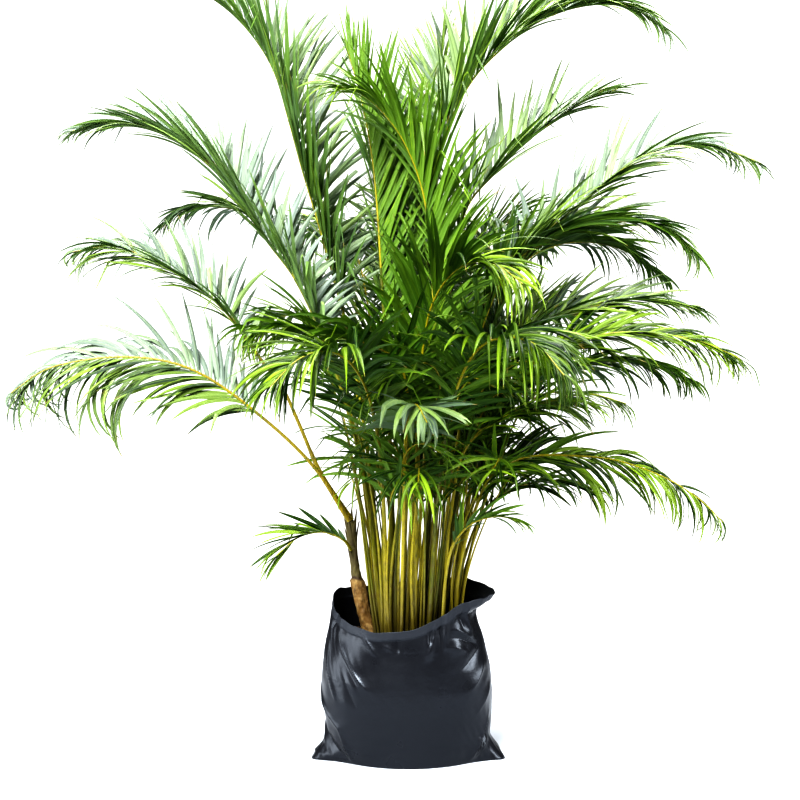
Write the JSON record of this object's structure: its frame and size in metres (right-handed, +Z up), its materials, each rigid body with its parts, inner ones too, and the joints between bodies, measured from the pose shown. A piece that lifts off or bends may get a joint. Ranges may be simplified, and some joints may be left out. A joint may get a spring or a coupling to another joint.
{
  "type": "potted palm",
  "caption": "Bushy feather palm with arching fronds on slim yellow-green stalks, growing in soil in a glossy black film grow bag.",
  "frame": {"origin": "on the floor under the middle of the bag", "axes": "+Z up along the clump, -Y towards the front, where the bag's rim is low, +X to the right seen from the front"},
  "size_m": [1.3261, 1.1258, 1.3375],
  "materials": {
    "bag_film": "gloss",
    "soil": "matte",
    "cane_bark": "matte",
    "stalk": "satin",
    "leaf": "satin"
  },
  "bodies": {
    "root": {"bag": "bag_film", "soil": "soil", "cane": "cane_bark", "tall_left_stalk": "stalk", "tall_left_frond": "leaf", "arch_left_stalk": "stalk", "arch_left_frond": "leaf", "back_left_stalk": "stalk", "back_left_frond": "leaf", "side_left_stalk": "stalk", "side_left_frond": "leaf", "far_left_stalk": "stalk", "far_left_frond": "leaf", "low_back_left_stalk": "stalk", "low_back_left_frond": "leaf", "front_left_stalk": "stalk", "front_left_frond": "leaf", "spear_left_stalk": "stalk", "spear_left_frond": "leaf", "facing_left_stalk": "stalk", "facing_left_frond": "leaf", "facing_middle": "leaf", "back_middle_left_stalk": "stalk", "back_middle_left_frond": "leaf", "spear_middle_stalk": "stalk", "spear_middle_frond": "leaf", "crown_stalk": "stalk", "crown_frond": "leaf", "tall_right_stalk": "stalk", "tall_right_frond": "leaf", "facing_low_stalk": "stalk", "facing_low_frond": "leaf", "back_middle_stalk": "stalk", "back_middle_frond": "leaf", "back_right_stalk": "stalk", "back_right_frond": "leaf", "front_right_stalk": "stalk", "front_right_frond": "leaf", "high_right_stalk": "stalk", "high_right_frond": "leaf", "arch_right_stalk": "stalk", "arch_right_frond": "leaf", "side_right_stalk": "stalk", "side_right_frond": "leaf", "side_back_right_stalk": "stalk", "side_back_right_frond": "leaf", "mid_right_stalk": "stalk", "mid_right_frond": "leaf", "mid_front_right_stalk": "stalk", "mid_front_right_frond": "leaf", "mid_back_right_stalk": "stalk", "mid_back_right_frond": "leaf", "low_back_right_stalk": "stalk", "low_back_right_frond": "leaf", "low_right_stalk": "stalk", "low_right_frond": "leaf", "fan_right": "leaf", "shoot_right": "leaf", "shoot_front": "leaf", "shoot_left": "leaf"}
  },
  "joints": []
}
